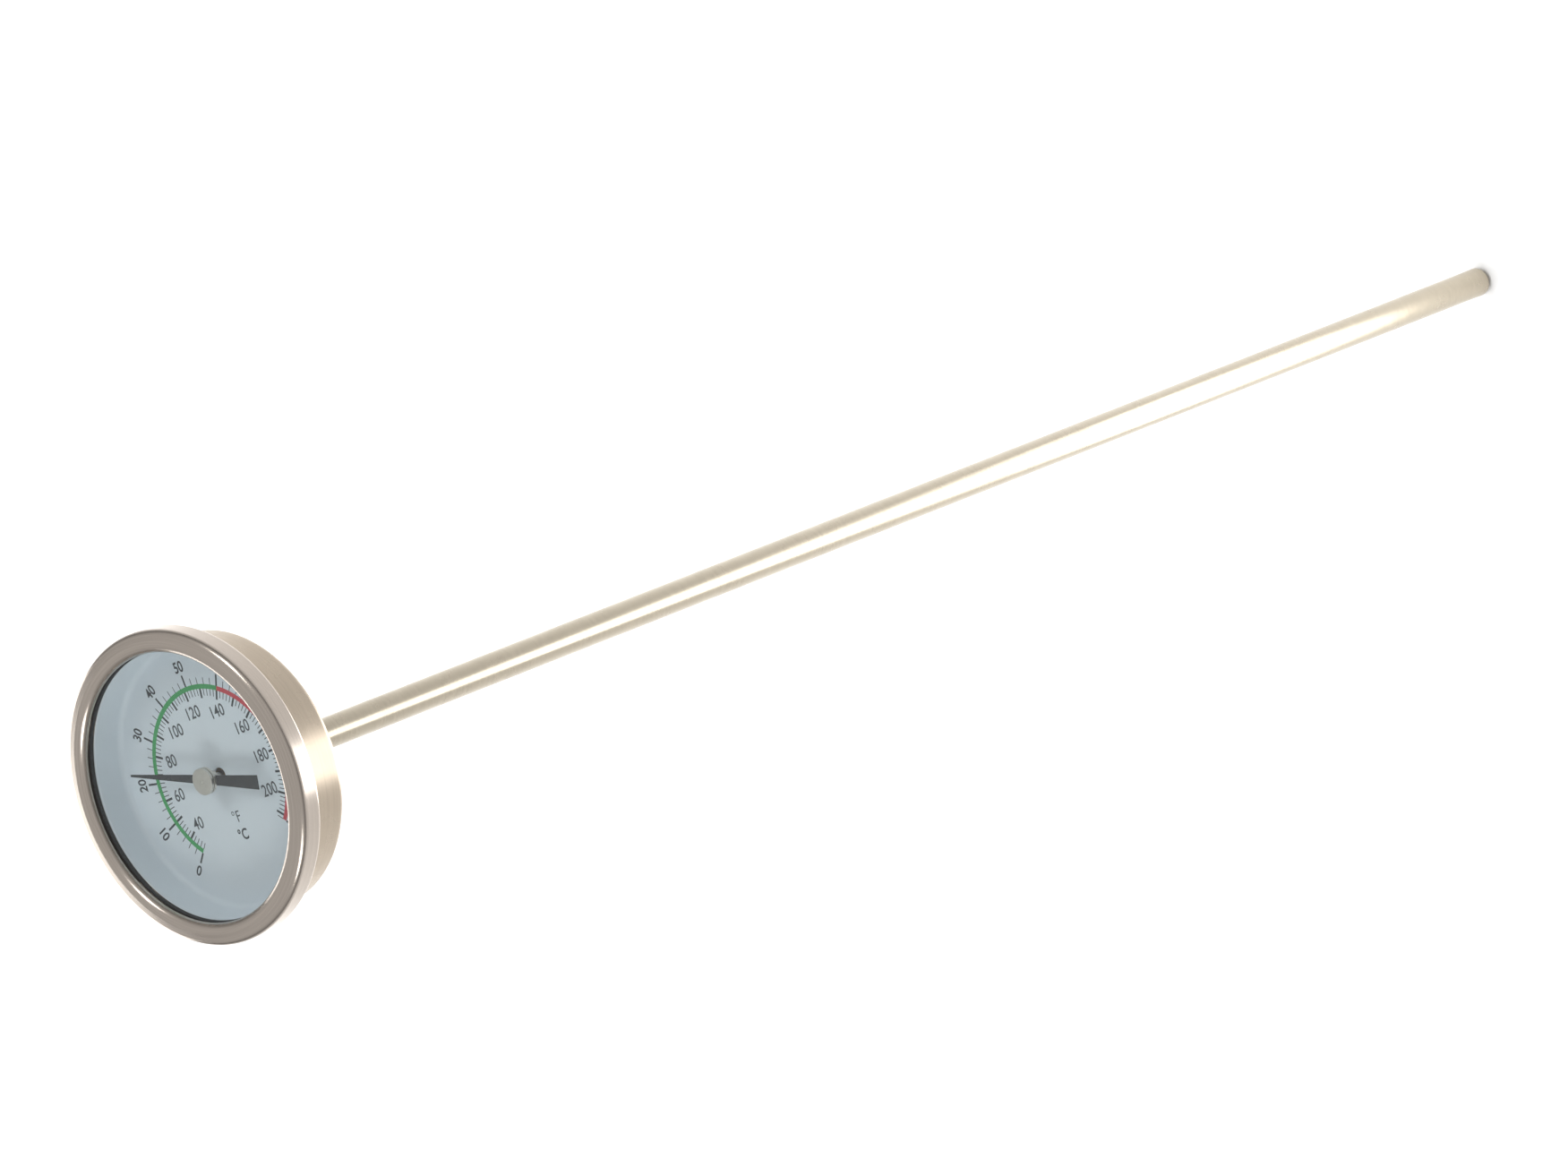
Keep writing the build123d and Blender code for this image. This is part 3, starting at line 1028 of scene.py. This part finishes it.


# %% [markdown]
# ## The bimetal coil
# Inside the stem a ribbon of two metals is wound as a helix. It winds up as it warms and turns the
# long shaft that carries the pointer. A tree draws the helix and gives it the ribbon's section.
# In the real thermometer its lower end stays with the housing and its upper end turns with the
# shaft, so the ribbon twists. Here the whole coil rides with the housing.

# %% Wind the coil
def coil_tree():
    """A ribbon wound as a helix round the vertical axis."""
    tree = bpy.data.node_groups.new("bimetal_coil", "GeometryNodeTree")
    given = inputs_of(
        tree,
        [
            ("Turns", "NodeSocketFloat"),
            ("Points Per Turn", "NodeSocketInt"),
            ("Radius", "NodeSocketFloat"),
            ("Length", "NodeSocketFloat"),
            ("Start", "NodeSocketFloat"),
            ("Strip Width", "NodeSocketFloat"),
            ("Strip Thickness", "NodeSocketFloat"),
            ("Material", "NodeSocketMaterial"),
        ],
    )
    line = add(
        tree,
        "GeometryNodeCurveSpiral",
        {
            "Resolution": given["Points Per Turn"],
            "Rotations": given["Turns"],
            "Start Radius": given["Radius"],
            "End Radius": given["Radius"],
            "Height": given["Length"],
        },
    )
    lifted = add(tree, "ShaderNodeCombineXYZ", {"Z": given["Start"]})
    placed = add(tree, "GeometryNodeSetPosition", {"Geometry": line, "Offset": lifted})
    upright = add(tree, "GeometryNodeSetCurveNormal", {"Curve": placed}, mode="Z_UP")
    section = add(
        tree,
        "GeometryNodeCurvePrimitiveQuadrilateral",
        {"Width": given["Strip Thickness"], "Height": given["Strip Width"]},
    )
    ribbon = add(
        tree,
        "GeometryNodeCurveToMesh",
        {"Curve": upright, "Profile Curve": section, "Fill Caps": True},
    )
    end_tree(tree, ribbon, given["Material"])
    return tree


COIL_TURNS, POINTS_PER_TURN = 30.0, 32
COIL_RADIUS, COIL_LENGTH, COIL_START = 1.9 * MM, 39.0 * MM, 17.6 * MM
STRIP_WIDTH, STRIP_THICKNESS = 0.9 * MM, 0.2 * MM
coil = grow(
    "bimetal_coil",
    coil_tree(),
    {
        "Turns": COIL_TURNS,
        "Points Per Turn": POINTS_PER_TURN,
        "Radius": COIL_RADIUS,
        "Length": COIL_LENGTH,
        "Start": COIL_START,
        "Strip Width": STRIP_WIDTH,
        "Strip Thickness": STRIP_THICKNESS,
        "Material": bimetal,
    },
)
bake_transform(coil)
settle(coil, "housing", "bimetal_strip", "bimetal_helix")

# %% [markdown]
# ## Finishes of the pieces that keep their model shape
# The bearings, guides, anchor, clip and shaft are inside the stem, and the case bush holds the
# stem to the case. The pointer's bush is behind the blade. These plain turned shapes are already
# right, so each keeps its own mesh and gets the finish of its real metal or plastic.

# %% Dress the pieces that stay
finishes = {
    collar_steel: ["case_bush", "stem_collar", "helix_anchor", "helix_clip"],
    bush_brass: ["upper_bearing", "lower_bearing"],
    spindle_steel: ["pointer_shaft"],
    guide_plastic: [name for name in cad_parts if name.startswith("shaft_guide")],
    bezel_steel: ["bezel_ring"],
    case_steel: ["case_cup"],
    stem_steel: ["stem_tube", "stem_tip_plug"],
    window_glass: ["window_glass"],
    black_rubber: ["window_gasket"],
    enamel: ["dial_pan"],
    hub_nickel: ["pointer_hub", "pointer_bush"],
    pointer_paint: ["pointer_blade"],
    bimetal: ["bimetal_helix"],
}
for material, names in finishes.items():
    for name in names:
        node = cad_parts[name]
        node.data.materials.clear()
        node.data.materials.append(material)
print("dressed:", sum(len(names) for names in finishes.values()), "nodes")

# %% [markdown]
# ## Floor, light and air
# The thermometer stands upright on its tip in the model's frame, so the floor is at the tip. The
# floor and the air round it are pale, so the steel reflects a bright room. Two large soft boxes
# above, one each side, light the dial. A wide panel behind the thermometer is reflected in the
# bezel, a box near the floor in front is reflected in the side of the head and stem, and a lamp
# below the head brightens the floor.

# %% Floor, world and lights
def floor_material():
    """Matte pale paint."""
    made = start_material("pale_floor")
    matte = add(
        made[1],
        "ShaderNodeBsdfPrincipled",
        {"Base Color": paint("#FCFCFC"), "Roughness": 0.9, "Specular IOR Level": 0.2},
    )
    return finish_material(made, matte.outputs[0])


FLOOR_HALF = 6.0
floor_mesh = bpy.data.meshes.new("floor")
floor_mesh.from_pydata(
    [(-FLOOR_HALF, -FLOOR_HALF, 0), (FLOOR_HALF, -FLOOR_HALF, 0),
     (FLOOR_HALF, FLOOR_HALF, 0), (-FLOOR_HALF, FLOOR_HALF, 0)],
    [],
    [(0, 1, 2, 3)],
)
floor_mesh.materials.append(floor_material())
floor = bpy.data.objects.new("floor", floor_mesh)
bpy.context.scene.collection.objects.link(floor)

world = bpy.data.worlds.new("studio_air")
world.use_nodes = True
air = world.node_tree
direction = add(air, "ShaderNodeSeparateXYZ", {0: add(air, "ShaderNodeTexCoord")})
air.nodes["Background"].inputs["Color"].default_value = paint("#FFFFFF")
rise = add(
    air,
    "ShaderNodeMapRange",
    {"Value": direction.outputs["Z"], "From Min": 0.0, "From Max": 0.6,
     "To Min": 0.15, "To Max": 0.52},
)
air.links.new(rise.outputs[0], air.nodes["Background"].inputs["Strength"])
bpy.context.scene.world = world


def soft_box(name, place, target, along, size, power, mirrored=True):
    """A rectangular lamp at one point that faces another, its width along a direction."""
    lamp = bpy.data.lights.new(name, "AREA")
    lamp.shape = "RECTANGLE"
    lamp.size, lamp.size_y = size
    lamp.energy = power
    behind = (Vector(place) - Vector(target)).normalized()
    across = Vector(along).cross(behind).normalized()
    turned = Matrix((across.cross(behind), across, behind)).transposed()
    holder = bpy.data.objects.new(name, lamp)
    holder.matrix_world = Matrix.Translation(place) @ turned.to_4x4()
    holder.visible_camera = False
    holder.visible_glossy = mirrored
    holder.visible_transmission = False
    bpy.context.scene.collection.objects.link(holder)
    return holder


dial_centre = (0, 0, FRONT)
soft_box("soft_box_below", (0.2, -1.5, 1.9), dial_centre, (1, 0, 0), (0.7, 0.7), 7.5)
soft_box("soft_box_above", (0.2, 1.5, 2.2), dial_centre, (1, 0, 0), (0.7, 0.7), 7.5)
soft_box("back_panel", (-1.5, 0, 0.45), (0, 0, 0.45), (0, 1, 0), (1.2, 0.8), 7.0)
soft_box(
    "floor_light", (-0.34, 0, 0.36), (-0.34, 0, 0), (1, 0, 0), (0.8, 0.7), 3.2, mirrored=False
)
low_angle, low_distance, low_height = math.radians(-17), 0.29, 0.004
low_way = (math.cos(low_angle), math.sin(low_angle), 0)
low_place = (low_distance * low_way[0], low_distance * low_way[1], low_height)
soft_box(
    "low_front_box", low_place, (low_place[0], low_place[1], 1), low_way, (0.52, 0.26), 1.1
)

# %% [markdown]
# ## Camera
# A long lens looks down at the dial from the three o'clock side, so the stem runs away from the
# viewer and is foreshortened. The camera is rolled, as it would be by someone who lays the
# thermometer across the picture.

# %% Camera
camera_data = bpy.data.cameras.new("camera")
camera_data.sensor_width = 36.0
camera_data.lens = 236.02
camera = bpy.data.objects.new("camera", camera_data)
bpy.context.scene.collection.objects.link(camera)
camera_place = Vector((1.49656, 0.0, 1.74958))
camera_aim = Vector((0.0, -0.00657, 0.24118))
camera_roll = math.radians(-111.59)
forward = (camera_aim - camera_place).normalized()
level_right = forward.cross(Vector((0, 0, 1))).normalized()
level_up = level_right.cross(forward)
right = level_right * math.cos(camera_roll) + level_up * math.sin(camera_roll)
up = right.cross(forward)
turned = Matrix((right, up, -forward)).transposed()
camera.matrix_world = Matrix.Translation(camera_place) @ turned.to_4x4()
bpy.context.scene.camera = camera
bpy.context.scene.view_settings.view_transform = "Standard"
